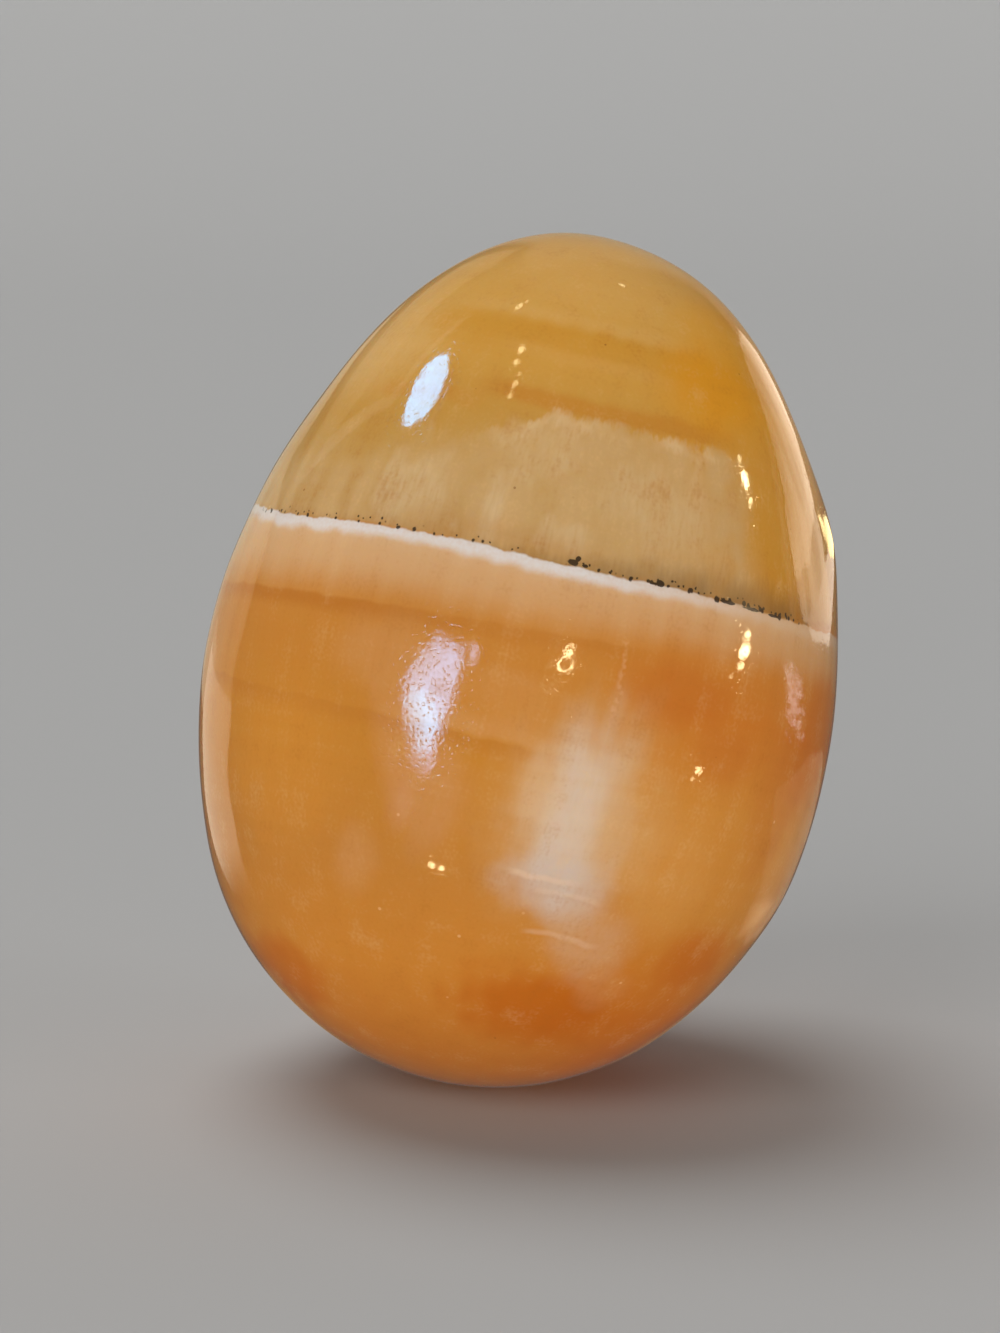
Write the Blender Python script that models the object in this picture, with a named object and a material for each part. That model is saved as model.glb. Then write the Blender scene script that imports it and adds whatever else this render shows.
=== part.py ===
"""A hand-polished onyx marble egg that leans a little on a small flat ground on its broad end.

Metres, +Z up. The origin is the middle of the flat, and the narrow end leans toward +X.
"""

import math

import bmesh
import bpy
from mathutils import Matrix, Vector

# Sizes in metres, angles in degrees
AXIS_LENGTH = 0.0762
GIRTH_DIAMETER = 0.0552
TAPER = 0.114
LEAN = 11.0
FLAT_RADIUS = 0.006

# Facets of the solid
SEGMENTS = 96
RINGS = 50
SLIVER = 0.00025

# High and low places that the hand polishing left. Each row: turn about the egg's axis from +X,
# angle from the narrow end as seen from the egg's middle, reach, and height (negative is worn low)
POLISHED = (
    (0.0, 57.0, 7.0, 0.00040),
    (0.0, 36.0, 9.0, -0.00021),
    (0.0, 4.0, 9.0, -0.00055),
    (180.0, 48.0, 10.0, -0.00042),
    (180.0, 71.0, 6.0, -0.00016),
    (180.0, 119.0, 9.0, -0.00026),
    (180.0, 143.0, 8.0, 0.00023),
    (0.0, 139.0, 9.0, -0.00022),
    (0.0, 121.0, 8.0, 0.00036),
    (60.0, 100.0, 14.0, 0.00022),
    (75.0, 62.0, 11.0, -0.00026),
    (110.0, 132.0, 12.0, -0.00022),
    (300.0, 108.0, 12.0, 0.00018),
    (245.0, 64.0, 10.0, -0.00016),
)

# Looks of the plain solid
STONE_COLOUR = (0.56, 0.25, 0.06, 1.0)
STONE_ROUGHNESS = 0.16


def clear_scene():
    """Remove whatever the opened file holds."""
    for old in list(bpy.data.objects):
        bpy.data.objects.remove(old, do_unlink=True)


def profile_radius(along):
    """Radius of the egg at a place along its axis, from -1 at the broad end to 1 at the narrow end."""
    return GIRTH_DIAMETER / 2.0 * math.sqrt(max(0.0, 1.0 - along * along)) * (1.0 - TAPER * along)


def polished_offset(direction):
    """How far the surface stands out along a direction from the egg's middle."""
    offset = 0.0
    for turn, polar, reach, height in POLISHED:
        turn, polar, reach = math.radians(turn), math.radians(polar), math.radians(reach)
        place = Vector((math.sin(polar) * math.cos(turn), math.sin(polar) * math.sin(turn), math.cos(polar)))
        away = direction.angle(place)
        offset += height * math.exp(-0.5 * (away / reach) ** 2)
    return offset


def turn_profile(shape):
    """Spin the egg's profile about +Z, with its middle at the origin."""
    half = AXIS_LENGTH / 2.0
    outline = []
    for ring in range(RINGS + 1):
        along = -math.cos(math.pi * ring / RINGS)
        outline.append(shape.verts.new((profile_radius(along), 0.0, half * along)))
    edges = [shape.edges.new(pair) for pair in zip(outline, outline[1:])]
    bmesh.ops.spin(
        shape,
        geom=outline + edges,
        cent=(0.0, 0.0, 0.0),
        axis=(0.0, 0.0, 1.0),
        angle=math.tau,
        steps=SEGMENTS,
        use_merge=True,
    )
    bmesh.ops.remove_doubles(shape, verts=shape.verts[:], dist=1e-6)


def polish_by_hand(shape):
    """Move every point out or in to where the hand polishing left it."""
    for vert in shape.verts:
        direction = vert.co.normalized()
        vert.co += direction * polished_offset(direction)


def lean_and_lower(shape):
    """Lean the narrow end toward +X and sink the egg until the flat has its radius at z = 0."""
    bmesh.ops.rotate(
        shape,
        verts=shape.verts[:],
        cent=(0.0, 0.0, 0.0),
        matrix=Matrix.Rotation(math.radians(LEAN), 3, "Y"),
    )
    lowest = min(shape.verts, key=lambda vert: vert.co.z)
    broad_end_curve = (GIRTH_DIAMETER / 2.0 * (1.0 + TAPER)) ** 2 / (AXIS_LENGTH / 2.0)
    ground_away = FLAT_RADIUS ** 2 / (2.0 * broad_end_curve)
    bmesh.ops.translate(shape, verts=shape.verts[:], vec=(0.0, 0.0, -lowest.co.z - ground_away))


def grind_flat(shape):
    """Cut off what is below z = 0, close the cut with one face and put its middle at the origin."""
    cut = bmesh.ops.bisect_plane(
        shape,
        geom=shape.verts[:] + shape.edges[:] + shape.faces[:],
        plane_co=(0.0, 0.0, 0.0),
        plane_no=(0.0, 0.0, 1.0),
        clear_inner=True,
    )
    rim = [item for item in cut["geom_cut"] if isinstance(item, bmesh.types.BMVert)]
    bmesh.ops.remove_doubles(shape, verts=rim, dist=SLIVER)
    border = [edge for edge in shape.edges if edge.is_boundary]
    flat = bmesh.ops.contextual_create(shape, geom=border)["faces"][0]
    middle = flat.calc_center_median_weighted()
    bmesh.ops.translate(shape, verts=shape.verts[:], vec=(-middle.x, -middle.y, 0.0))
    bmesh.ops.recalc_face_normals(shape, faces=shape.faces[:])


def stone_material():
    """Honey-coloured polished stone."""
    material = bpy.data.materials.new("onyx_marble")
    material.use_nodes = True
    shader = material.node_tree.nodes["Principled BSDF"]
    shader.inputs["Base Color"].default_value = STONE_COLOUR
    shader.inputs["Roughness"].default_value = STONE_ROUGHNESS
    shader.inputs["Metallic"].default_value = 0.0
    return material


def make_egg():
    """The whole egg is one piece of stone."""
    shape = bmesh.new()
    turn_profile(shape)
    polish_by_hand(shape)
    lean_and_lower(shape)
    grind_flat(shape)
    mesh = bpy.data.meshes.new("onyx_egg")
    shape.to_mesh(mesh)
    shape.free()
    mesh.materials.append(stone_material())
    mesh.shade_smooth()
    mesh.set_sharp_from_angle(angle=math.radians(9.0))
    egg = bpy.data.objects.new("onyx_egg", mesh)
    bpy.context.scene.collection.objects.link(egg)
    return egg


clear_scene()
make_egg()
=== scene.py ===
"""The looks of a polished onyx marble egg, leaning on its small flat on a plain pale floor.

Metres, +Z up. The front of the egg faces -Y, and its narrow end leans toward +X.
"""

import math

import bmesh
import bpy
import numpy as np
from mathutils import Matrix, Vector


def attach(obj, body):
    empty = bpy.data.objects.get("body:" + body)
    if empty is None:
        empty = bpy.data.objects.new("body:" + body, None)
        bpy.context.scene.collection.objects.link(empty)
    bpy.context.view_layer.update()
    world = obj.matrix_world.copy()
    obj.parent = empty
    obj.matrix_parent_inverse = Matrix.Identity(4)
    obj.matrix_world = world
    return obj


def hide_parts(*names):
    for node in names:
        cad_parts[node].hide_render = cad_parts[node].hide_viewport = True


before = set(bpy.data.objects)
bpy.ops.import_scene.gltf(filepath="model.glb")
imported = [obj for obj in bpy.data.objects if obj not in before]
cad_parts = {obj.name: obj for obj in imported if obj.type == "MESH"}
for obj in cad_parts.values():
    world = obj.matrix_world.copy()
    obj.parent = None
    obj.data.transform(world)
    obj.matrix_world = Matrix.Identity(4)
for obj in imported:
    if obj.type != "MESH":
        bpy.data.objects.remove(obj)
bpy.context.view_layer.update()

# The egg's form, in metres and degrees
AXIS_LENGTH = 0.0762
GIRTH_DIAMETER = 0.0552
TAPER = 0.114
LEAN = 11.0
FLAT_RADIUS = 0.006
# High and low places left by hand polishing: turn about the egg's axis from +X, angle from the
# narrow end as seen from the egg's middle, reach, and height
POLISHED = (
    (0.0, 57.0, 7.0, 0.00040),
    (0.0, 36.0, 9.0, -0.00021),
    (0.0, 4.0, 9.0, -0.00055),
    (180.0, 48.0, 10.0, -0.00042),
    (180.0, 71.0, 6.0, -0.00016),
    (180.0, 119.0, 9.0, -0.00026),
    (180.0, 143.0, 8.0, 0.00023),
    (0.0, 139.0, 9.0, -0.00022),
    (0.0, 121.0, 8.0, 0.00036),
    (60.0, 100.0, 14.0, 0.00022),
    (75.0, 62.0, 11.0, -0.00026),
    (110.0, 132.0, 12.0, -0.00022),
    (300.0, 108.0, 12.0, 0.00018),
    (245.0, 64.0, 10.0, -0.00016),
)
SEGMENTS = 360
RINGS = 250
# Points that the ground flat leaves closer than this are joined
SLIVER = 0.00003
# An edge sharper than this, in degrees, is a real one, such as the flat's rim
CREASE = 9.0
# The lapped surface lies this far inside the solid's, at its highest, and ripples below that
POLISH_DEPTH = 0.00003
RIPPLE = 0.00004
RIPPLES_PER_METRE = 110.0
RIPPLE_WAVES = ((1.0, 0.3, 0.5), (-0.4, 0.9, 0.8), (0.2, -0.7, 1.2))

# The layers of the stone: a point on the white vein, and the direction across the layers
VEIN_POINT = Vector((0.00445, -0.01928, 0.04779))
ACROSS = Vector((0.228, 0.168, 0.959)).normalized()
ALONG = Vector((1.0, 0.0, -ACROSS.x / ACROSS.z)).normalized()
INTO = ACROSS.cross(ALONG).normalized()
MM_PER_METRE = 1000.0

# How light bends and wanders in the stone: the depths are in metres, by red, green and blue
STONE_IOR = 1.52
SCATTER_DEPTH = (0.0040, 0.0018, 0.0007)
SCATTER_SHARE = 0.42
VEIN_SCATTER_SHARE = 0.10
# The polish and its faint relief, with heights in mm
POLISH_ROUGHNESS = 0.048
WORN_ROUGHNESS = 0.100
PEEL_HEIGHT = 0.0080
GRAIN_HEIGHT = 0.0062
PIT_HEIGHT = -0.0090

# The camera, in mm, degrees and metres
LENS_MM = 100.0
SENSOR_MM = 36.0
NEAREST = 0.01
CAMERA_ELEVATION = 9.0
CAMERA_DISTANCE = 0.3255
AIM = Vector((0.00033, 0.0, 0.0365))

FLOOR_GREY = 0.42
BACKDROP_STRENGTH = 0.37
ROOM_STRENGTH = 0.09
# The sheets that lie on the floor are this far above it
ABOVE_FLOOR = 0.0005

# Colours of light
DAYLIGHT = (1.0, 0.99, 0.97)
SIDE_LIGHT = (1.0, 0.98, 0.95)
LAMPLIGHT = (1.0, 0.80, 0.42)
VEIL_LIGHT = (0.90, 0.84, 1.0)
WALL_LIGHT = (1.0, 0.84, 0.66)

# Broad lights: name, azimuth, elevation and the angle that each fills, in degrees, strength, colour
SOFT_LIGHTS = (
    ("overhead", -140.0, 67.0, 38.0, 1.60, DAYLIGHT),
    ("key", -38.0, 32.0, 40.0, 0.85, DAYLIGHT),
    ("front_low", -10.0, 2.0, 24.0, 1.22, (0.97, 0.98, 0.97)),
    ("left_low", -75.0, 2.0, 24.0, 0.70, SIDE_LIGHT),
    ("right_low", 68.0, 2.0, 24.0, 1.35, SIDE_LIGHT),
    ("floor_bounce", 10.0, -42.0, 60.0, 0.90, (1.0, 0.96, 0.90)),
    ("back_fill", 170.0, 40.0, 70.0, 0.55, (1.0, 1.0, 1.0)),
)


def srgb(red, green, blue):
    """A display colour from 0 to 255 as a linear colour."""
    levels = [value / 255.0 for value in (red, green, blue)]
    linear = [v / 12.92 if v <= 0.04045 else ((v + 0.055) / 1.055) ** 2.4 for v in levels]
    return (*linear, 1.0)


# Tones across the layers at the left and middle, by height above the vein in mm
BANDS = (
    (-42.0, srgb(192, 116, 38)),
    (-35.0, srgb(196, 126, 46)),
    (-26.0, srgb(187, 123, 50)),
    (-17.0, srgb(192, 127, 46)),
    (-9.0, srgb(191, 125, 49)),
    (0.0, srgb(194, 130, 58)),
    (1.0, srgb(172, 129, 64)),
    (5.0, srgb(181, 139, 70)),
    (12.0, srgb(189, 140, 62)),
    (16.0, srgb(197, 146, 64)),
    (19.0, srgb(195, 142, 55)),
    (21.5, srgb(199, 151, 74)),
    (24.5, srgb(198, 150, 74)),
    (30.0, srgb(195, 148, 76)),
)
# The same heights toward the right, in deeper tones: partly the stone's own, partly painted shade of the
# egg's right side
DEEP_AND_SHADED_BANDS = (
    (-42.0, srgb(190, 100, 18)),
    (-35.0, srgb(192, 106, 22)),
    (-26.0, srgb(194, 128, 50)),
    (-17.0, srgb(196, 130, 52)),
    (-9.0, srgb(192, 114, 38)),
    (0.0, srgb(192, 126, 52)),
    (1.0, srgb(186, 126, 44)),
    (5.0, srgb(194, 136, 48)),
    (12.0, srgb(200, 140, 50)),
    (16.0, srgb(207, 141, 28)),
    (19.0, srgb(204, 136, 16)),
    (21.5, srgb(205, 138, 22)),
    (24.5, srgb(202, 138, 34)),
    (30.0, srgb(194, 143, 68)),
)
# Deeper and paler sheets above the vein: height, half width and softness, the places along the
# layers where each starts, is full, wanes and ends, all in mm, then its strength and tone
UPPER_LINES = (
    (13.3, 0.30, 0.85, (-11.0, -5.0, 9.0, 14.0), 0.62, srgb(186, 122, 40)),
    (12.1, 0.25, 0.8, (-20.0, -15.0, -11.0, -7.0), 0.35, srgb(188, 126, 46)),
    (18.4, 0.4, 2.0, (-16.0, -8.0, 2.0, 12.0), 0.22, srgb(194, 132, 36)),
    (20.5, 0.15, 0.9, (-14.0, -9.0, 4.0, 12.0), 0.26, srgb(210, 168, 104)),
    (17.1, 0.15, 0.8, (-10.0, -5.0, 3.0, 9.0), 0.26, srgb(208, 160, 90)),
)
# Cloudy patches: centre along, into and across the layers, size, strength and tone
CLOUDS = (
    ((6.8, -4.6, -19.8), (9.8, 9.0, 13.4), 0.50, srgb(202, 160, 110)),
    ((6.4, -4.8, -19.2), (6.2, 8.0, 11.4), 0.60, srgb(204, 178, 150)),
    ((6.3, -4.9, -19.3), (3.6, 8.0, 9.4), 0.60, srgb(208, 190, 174)),
    ((6.6, -2.6, -25.2), (6.4, 7.0, 4.0), 0.66, srgb(195, 177, 166)),
    ((3.2, -5.2, -17.6), (3.0, 6.0, 4.4), 0.42, srgb(208, 166, 118)),
    ((10.6, -3.4, -19.8), (4.6, 8.0, 8.6), 0.36, srgb(204, 156, 98)),
    ((15.5, 0.0, -22.4), (5.2, 8.0, 8.0), 0.34, srgb(206, 150, 82)),
    ((10.6, -0.4, -29.8), (5.2, 7.0, 5.4), 0.62, srgb(200, 156, 116)),
    ((12.4, 3.6, -33.0), (3.4, 5.0, 3.0), 0.42, srgb(200, 138, 84)),
    ((-5.2, -4.0, -20.5), (3.6, 6.0, 7.0), 0.30, srgb(204, 152, 110)),
    ((-10.0, 1.0, -26.5), (2.6, 5.0, 4.5), 0.30, srgb(208, 156, 108)),
    ((-11.0, -3.0, -10.0), (7.0, 6.0, 4.5), 0.34, srgb(204, 150, 98)),
    ((-1.0, -6.0, -11.0), (6.0, 5.0, 3.0), 0.30, srgb(204, 148, 92)),
    ((-17.0, 4.0, -21.0), (8.0, 10.0, 10.0), 0.40, srgb(208, 138, 52)),
    ((-17.0, 8.5, 16.0), (8.5, 9.0, 8.0), 0.55, srgb(206, 168, 108)),
    ((-2.0, 2.0, 27.0), (11.0, 12.0, 7.0), 0.35, srgb(206, 160, 92)),
)
# Deeper places, given as the cloudy ones are: some are the stone's own deeper orange, and those round the
# foot and along the right edge are painted shade
DEEP_PATCHES_AND_PAINTED_SHADE = (
    ((12.8, -4.0, -7.8), (8.0, 7.0, 3.8), 0.52, srgb(184, 102, 32)),
    ((17.5, -1.0, -12.0), (5.0, 6.0, 3.4), 0.42, srgb(186, 104, 34)),
    # Painted shade round the foot: this row and the next two
    ((7.6, 4.2, -35.8), (10.0, 9.0, 5.6), 0.72, srgb(182, 90, 2)),
    ((19.8, 7.2, -29.2), (5.6, 7.0, 4.6), 0.60, srgb(182, 92, 8)),
    ((-13.4, 13.0, -38.2), (6.0, 9.0, 4.6), 0.60, srgb(186, 94, 8)),
    # Painted shade along the right edge: this row and the next
    ((25.4, 8.4, -9.0), (3.4, 8.0, 8.0), 0.40, srgb(184, 94, 14)),
    ((23.2, 5.0, -15.0), (3.4, 7.0, 9.0), 0.30, srgb(184, 102, 34)),
    ((9.8, 2.8, 17.6), (6.4, 8.0, 5.0), 0.55, srgb(210, 138, 10)),
    ((9.5, 5.0, 22.4), (6.0, 9.0, 4.2), 0.36, srgb(208, 146, 34)),
    ((20.5, -1.0, 8.0), (4.6, 5.0, 8.0), 0.40, srgb(200, 134, 22)),
)
# Whiter patches in the fibrous zone above the vein: centre, size and strength
FROST_PATCHES = (
    ((-12.3, -1.7, 5.0), (4.6, 3.4, 5.0), 0.36),
    ((-5.3, -4.9, 3.0), (2.8, 3.0, 4.4), 0.44),
    ((0.7, -5.7, 2.5), (2.8, 3.0, 2.4), 0.34),
    ((7.2, -3.8, 6.6), (8.5, 4.0, 4.6), 0.26),
    ((-2.4, -4.0, 9.2), (5.0, 4.0, 3.0), 0.22),
)
# Level cracks: height, start and end along the layers, in mm, and strength
CRACKS = (
    (-24.9, 1.6, 8.6, 0.40),
    (-25.9, 4.0, 11.0, 0.22),
    (-29.4, 4.0, 11.5, 0.26),
)
# The largest black dots on the vein: centre and size
DOT_CLUSTERS = (
    ((1.4, -6.0, 0.56), (0.56, 1.2, 0.30)),
    ((1.8, -6.0, 0.96), (0.26, 1.2, 0.30)),
    ((2.5, -6.0, 0.52), (0.30, 1.2, 0.15)),
    ((8.8, -4.7, 0.62), (0.40, 1.2, 0.30)),
    ((8.2, -4.7, 0.48), (0.44, 1.2, 0.15)),
    ((14.8, -1.7, 0.50), (0.95, 1.2, 0.16)),
    ((17.0, 0.0, 0.47), (1.00, 1.4, 0.15)),
    ((19.1, 2.0, 0.43), (0.85, 1.4, 0.13)),
)
# Rows of small dots: how many to a mm, largest radius and highest place above the vein in mm
DOT_ROWS = (
    (0.50, 0.22, 0.10),
    (0.95, 0.17, 0.22),
    (1.7, 0.11, 0.60),
)
# The middle of the loop that the vein makes round the egg, along and into the layers, and the
# loop's radius, in mm
LOOP_MIDDLE = (0.6, 20.6)
LOOP_RADIUS = 26.5


class Graph:
    """Short calls that build one material's node graph."""

    def __init__(self, name):
        self.material = bpy.data.materials.new(name)
        self.material.use_nodes = True
        self.nodes = self.material.node_tree.nodes
        self.links = self.material.node_tree.links
        self.shader = self.nodes["Principled BSDF"]

    def put(self, socket, value):
        """Link an output to a socket, or write a value in it."""
        if isinstance(value, bpy.types.NodeSocket):
            self.links.new(value, socket)
        else:
            socket.default_value = value

    def math(self, operation, first, second=0.0, third=0.0):
        node = self.nodes.new("ShaderNodeMath")
        node.operation = operation
        self.put(node.inputs[0], first)
        self.put(node.inputs[1], second)
        self.put(node.inputs[2], third)
        return node.outputs[0]

    def vector(self, operation, first, second=(0.0, 0.0, 0.0), third=(0.0, 0.0, 0.0)):
        node = self.nodes.new("ShaderNodeVectorMath")
        node.operation = operation
        self.put(node.inputs[0], first)
        self.put(node.inputs[1], second)
        self.put(node.inputs[2], third)
        return node.outputs["Value" if operation in ("DOT_PRODUCT", "LENGTH") else "Vector"]

    def scaled(self, vector, factor):
        result = self.vector("SCALE", vector)
        result.node.inputs["Scale"].default_value = factor
        return result

    def times(self, first, second):
        return self.math("MULTIPLY", first, second)

    def plus(self, first, second):
        return self.math("ADD", first, second)

    def centred(self, value):
        return self.math("SUBTRACT", value, 0.5)

    def mix_value(self, amount, first, second):
        node = self.nodes.new("ShaderNodeMix")
        self.put(node.inputs[0], amount)
        self.put(node.inputs[2], first)
        self.put(node.inputs[3], second)
        return node.outputs[0]

    def xyz(self, x, y, z):
        node = self.nodes.new("ShaderNodeCombineXYZ")
        for socket, value in zip(node.inputs, (x, y, z)):
            self.put(socket, value)
        return node.outputs[0]

    def noise(self, place, scale, detail=2.0, roughness=0.5):
        node = self.nodes.new("ShaderNodeTexNoise")
        self.put(node.inputs["Vector"], place)
        node.inputs["Scale"].default_value = scale
        node.inputs["Detail"].default_value = detail
        node.inputs["Roughness"].default_value = roughness
        return node.outputs["Fac"]

    def scattered(self, place, scale, on_line=False):
        """Distance to the nearest of many scattered points, in spacings, and its two random numbers.

        The points lie in space, or on a line if the place is a distance along one.
        """
        node = self.nodes.new("ShaderNodeTexVoronoi")
        if on_line:
            node.voronoi_dimensions = "1D"
        self.put(node.inputs["W" if on_line else "Vector"], place)
        node.inputs["Scale"].default_value = scale
        parts = self.nodes.new("ShaderNodeSeparateColor")
        self.links.new(node.outputs["Color"], parts.inputs[0])
        return node.outputs["Distance"], parts.outputs[0], parts.outputs[1]

    def fade(self, value, start, end, low=0.0, high=1.0):
        """Smoothly from low at start to high at end. Start may be above end."""
        node = self.nodes.new("ShaderNodeMapRange")
        node.interpolation_type = "SMOOTHSTEP"
        self.put(node.inputs["Value"], value)
        if isinstance(start, float) and isinstance(end, float) and start > end:
            start, end, low, high = end, start, high, low
        self.put(node.inputs["From Min"], start)
        self.put(node.inputs["From Max"], end)
        self.put(node.inputs["To Min"], low)
        self.put(node.inputs["To Max"], high)
        return node.outputs["Result"]

    def mix(self, amount, first, second):
        node = self.nodes.new("ShaderNodeMix")
        node.data_type = "RGBA"
        self.put(node.inputs[0], amount)
        self.put(node.inputs[6], first)
        self.put(node.inputs[7], second)
        return node.outputs[2]

    def bands(self, height, stops):
        """Colour by height across the layers. Stops are (height in mm, colour)."""
        low, high = stops[0][0], stops[-1][0]
        spread = self.nodes.new("ShaderNodeMapRange")
        self.put(spread.inputs["Value"], height)
        spread.inputs["From Min"].default_value = low
        spread.inputs["From Max"].default_value = high
        ramp = self.nodes.new("ShaderNodeValToRGB")
        self.links.new(spread.outputs["Result"], ramp.inputs["Fac"])
        elements = ramp.color_ramp.elements
        elements[0].color = stops[0][1]
        elements[1].color = stops[-1][1]
        for place, colour in stops[1:-1]:
            element = elements.new((place - low) / (high - low))
            element.color = colour
        return ramp.outputs["Color"]

    def emission(self, strength, colour):
        """An even glow that isn't counted among the lamps."""
        node = self.nodes.new("ShaderNodeEmission")
        node.inputs["Color"].default_value = (*colour, 1.0)
        node.inputs["Strength"].default_value = strength
        self.material.cycles.emission_sampling = "NONE"
        return node.outputs[0]

    def show_only(self, output):
        """Make this output the whole surface, in place of the first shader."""
        self.nodes.remove(self.shader)
        self.links.new(output, self.nodes["Material Output"].inputs["Surface"])


def add_object(name, data):
    thing = bpy.data.objects.new(name, data)
    bpy.context.scene.collection.objects.link(thing)
    return thing


def profile_radius(along):
    """Radius of the egg at a place along its axis, from -1 at the broad end to 1 at the narrow end."""
    return GIRTH_DIAMETER / 2.0 * np.sqrt(np.maximum(0.0, 1.0 - along ** 2)) * (1.0 - TAPER * along)


def polished_points(points):
    """Every point moved out or in to where the hand polishing left it."""
    directions = points / np.linalg.norm(points, axis=1)[:, None]
    offset = np.full(len(points), -POLISH_DEPTH)
    for turn, polar, reach, height in POLISHED:
        turn, polar, reach = np.radians((turn, polar, reach))
        place = np.array((np.sin(polar) * np.cos(turn), np.sin(polar) * np.sin(turn), np.cos(polar)))
        away = np.arccos(np.clip(directions @ place, -1.0, 1.0))
        offset += height * np.exp(-0.5 * (away / reach) ** 2)
    for wave in RIPPLE_WAVES:
        phase = points @ np.array(wave) * RIPPLES_PER_METRE * math.tau
        offset -= RIPPLE / len(RIPPLE_WAVES) * (1.0 + np.sin(phase)) / 2.0
    return points + directions * offset[:, None]


def egg_grid():
    """Points and faces of the fine egg, standing on its broad end with its middle at the origin."""
    along = -np.cos(np.pi * np.arange(1, RINGS) / RINGS)
    turn = np.arange(SEGMENTS) * math.tau / SEGMENTS
    radius = profile_radius(along)[:, None]
    half = AXIS_LENGTH / 2.0
    rings = np.stack((
        radius * np.cos(turn),
        radius * np.sin(turn),
        np.repeat(half * along[:, None], SEGMENTS, axis=1),
    ), axis=-1).reshape(-1, 3)
    points = np.vstack((rings, ((0.0, 0.0, -half), (0.0, 0.0, half))))
    bottom, top = len(rings), len(rings) + 1
    last = (RINGS - 2) * SEGMENTS
    faces = []
    for side in range(SEGMENTS):
        following = (side + 1) % SEGMENTS
        faces.append((bottom, following, side))
        faces.append((top, last + side, last + following))
        for ring in range(RINGS - 2):
            row = ring * SEGMENTS
            above = row + SEGMENTS
            faces.append((row + side, row + following, above + following, above + side))
    return points, faces


def make_egg():
    """The whole egg, leaned, lowered and ground flat where it rests."""
    points, faces = egg_grid()
    points = polished_points(points)
    points = points @ np.array(Matrix.Rotation(math.radians(LEAN), 3, "Y")).T
    broad_end_curve = (GIRTH_DIAMETER / 2.0 * (1.0 + TAPER)) ** 2 / (AXIS_LENGTH / 2.0)
    ground_away = FLAT_RADIUS ** 2 / (2.0 * broad_end_curve)
    points[:, 2] -= points[:, 2].min() + ground_away
    mesh = bpy.data.meshes.new("egg_stone")
    mesh.from_pydata(points.tolist(), [], faces)
    shape = bmesh.new()
    shape.from_mesh(mesh)
    cut = bmesh.ops.bisect_plane(
        shape,
        geom=shape.verts[:] + shape.edges[:] + shape.faces[:],
        plane_co=(0.0, 0.0, 0.0),
        plane_no=(0.0, 0.0, 1.0),
        clear_inner=True,
    )
    rim = [item for item in cut["geom_cut"] if isinstance(item, bmesh.types.BMVert)]
    bmesh.ops.remove_doubles(shape, verts=rim, dist=SLIVER)
    border = [edge for edge in shape.edges if edge.is_boundary]
    flat = bmesh.ops.contextual_create(shape, geom=border)["faces"][0]
    middle = flat.calc_center_median_weighted()
    bmesh.ops.translate(shape, verts=shape.verts[:], vec=(-middle.x, -middle.y, 0.0))
    bmesh.ops.recalc_face_normals(shape, faces=shape.faces[:])
    shape.to_mesh(mesh)
    shape.free()
    mesh.shade_smooth()
    mesh.set_sharp_from_angle(angle=math.radians(CREASE))
    return add_object("egg_stone", mesh)


class Layers:
    """Places in the stone, in mm from the vein's point, and the uneven patterns that they make.

    u runs along the layers to the right, v into the stone, and w up across the layers.
    """

    def __init__(self, g):
        coordinates = g.scaled(g.nodes.new("ShaderNodeTexCoord").outputs["Object"], MM_PER_METRE)
        self.from_vein = g.vector("SUBTRACT", coordinates, tuple(VEIN_POINT * MM_PER_METRE))
        self.u = g.vector("DOT_PRODUCT", self.from_vein, tuple(ALONG))
        self.v = g.vector("DOT_PRODUCT", self.from_vein, tuple(INTO))
        self.w = g.vector("DOT_PRODUCT", self.from_vein, tuple(ACROSS))
        self.place = g.xyz(self.u, self.v, self.w)
        # The layers sway a little, and more at the front left than at the right
        swing = g.math("SINE", g.math("MULTIPLY_ADD", self.u, 0.21, 4.25))
        sway = g.times(g.times(swing, 0.26), g.fade(self.u, 14.0, 4.0, 0.25, 1.0))
        sway = g.plus(sway, g.fade(self.u, -24.0, 4.0, -0.62, 0.18))
        self.height = g.math("SUBTRACT", self.w, sway)
        # Crystal fibres stand across the layers
        self.fibre = g.centred(g.noise(g.xyz(self.u, self.v, g.times(self.w, 0.12)), 2.4, 1.0, 0.6))
        self.streak = g.centred(g.noise(g.xyz(self.u, self.v, g.times(self.w, 0.16)), 0.55, 0.0))
        # Thin sheets of slightly different tone lie along the layers
        flattened = g.xyz(g.times(self.u, 0.05), g.times(self.v, 0.05), self.height)
        self.sheet = g.centred(g.noise(flattened, 0.9, 1.0))
        # Unevenness that runs no special way, from the largest patches to the finest grain
        self.drift = g.centred(g.noise(self.place, 0.075, 0.0))
        self.mottle = g.centred(g.noise(self.place, 0.32, 1.0, 0.6))
        self.wave = g.centred(g.noise(self.place, 0.62, 0.0))
        self.rough = g.centred(g.noise(self.place, 1.6, 1.0, 0.6))
        self.grain = g.centred(g.noise(self.place, 3.6, 0.0))
        self.ragged = g.plus(self.mottle, self.streak)
        # The way round the vein's loop, from the front
        aside = g.plus(self.u, -LOOP_MIDDLE[0])
        ahead = g.math("SUBTRACT", LOOP_MIDDLE[1], self.v)
        self.round = g.times(g.math("ARCTAN2", aside, ahead), LOOP_RADIUS)


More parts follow.
